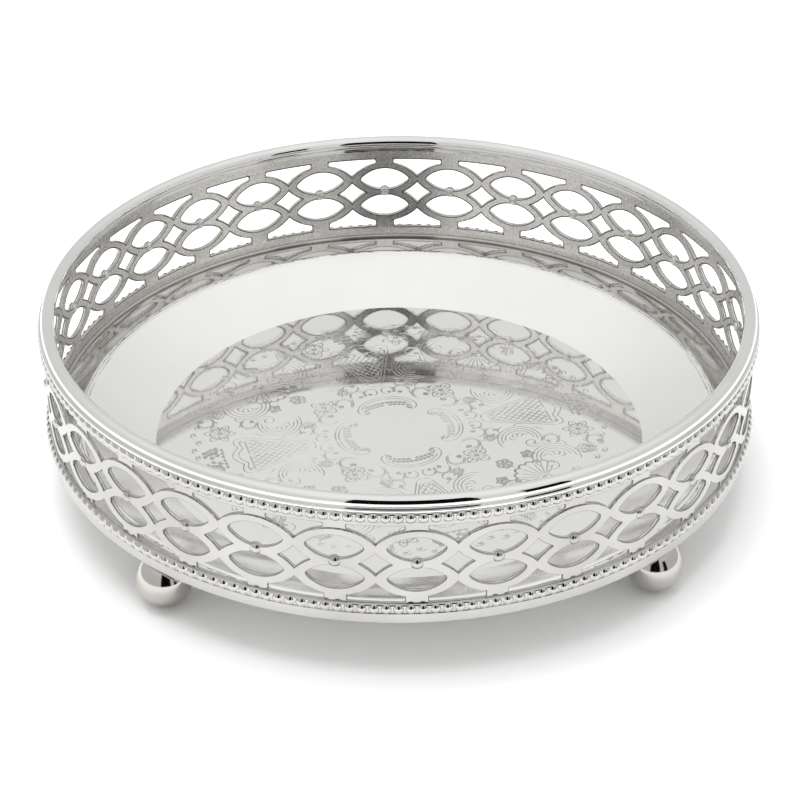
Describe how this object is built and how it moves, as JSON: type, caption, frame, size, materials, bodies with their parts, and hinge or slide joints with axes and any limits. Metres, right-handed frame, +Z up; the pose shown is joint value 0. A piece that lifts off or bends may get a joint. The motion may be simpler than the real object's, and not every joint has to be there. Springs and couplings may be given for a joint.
{
  "type": "offering plate",
  "caption": "Round polished offering plate with a coved dish, pierced interlaced gallery, beaded borders, tube rim and ball feet.",
  "frame": {"origin": "on the ground, under the centre of the plate", "axes": "+Z up along the turned axis; -Y is the front, midway between two feet"},
  "size_m": [0.25, 0.25, 0.0679],
  "materials": {
    "polished_plate": "mirror-polished silver plate",
    "gallery_plate": "bright silver plate, slightly softer than the dish",
    "foot_plate": "polished silver plate"
  },
  "bodies": {
    "root": {"dish": "polished_plate", "gallery_section_1": "gallery_plate", "gallery_section_2": "gallery_plate", "gallery_section_3": "gallery_plate", "gallery_section_4": "gallery_plate", "gallery_section_5": "gallery_plate", "gallery_section_6": "gallery_plate", "gallery_studs": "gallery_plate", "rim_tube": "polished_plate", "rim_collar_outer": "polished_plate", "rim_collar_inner": "polished_plate", "upper_beaded_wire": "gallery_plate", "lower_beaded_wire": "gallery_plate", "base_band": "polished_plate", "ledge_wire": "polished_plate", "foot_ball_1": "foot_plate", "foot_peg_1": "foot_plate", "foot_cup_1": "foot_plate", "foot_ball_2": "foot_plate", "foot_peg_2": "foot_plate", "foot_cup_2": "foot_plate", "foot_ball_3": "foot_plate", "foot_peg_3": "foot_plate", "foot_cup_3": "foot_plate", "foot_ball_4": "foot_plate", "foot_peg_4": "foot_plate", "foot_cup_4": "foot_plate"}
  },
  "joints": []
}
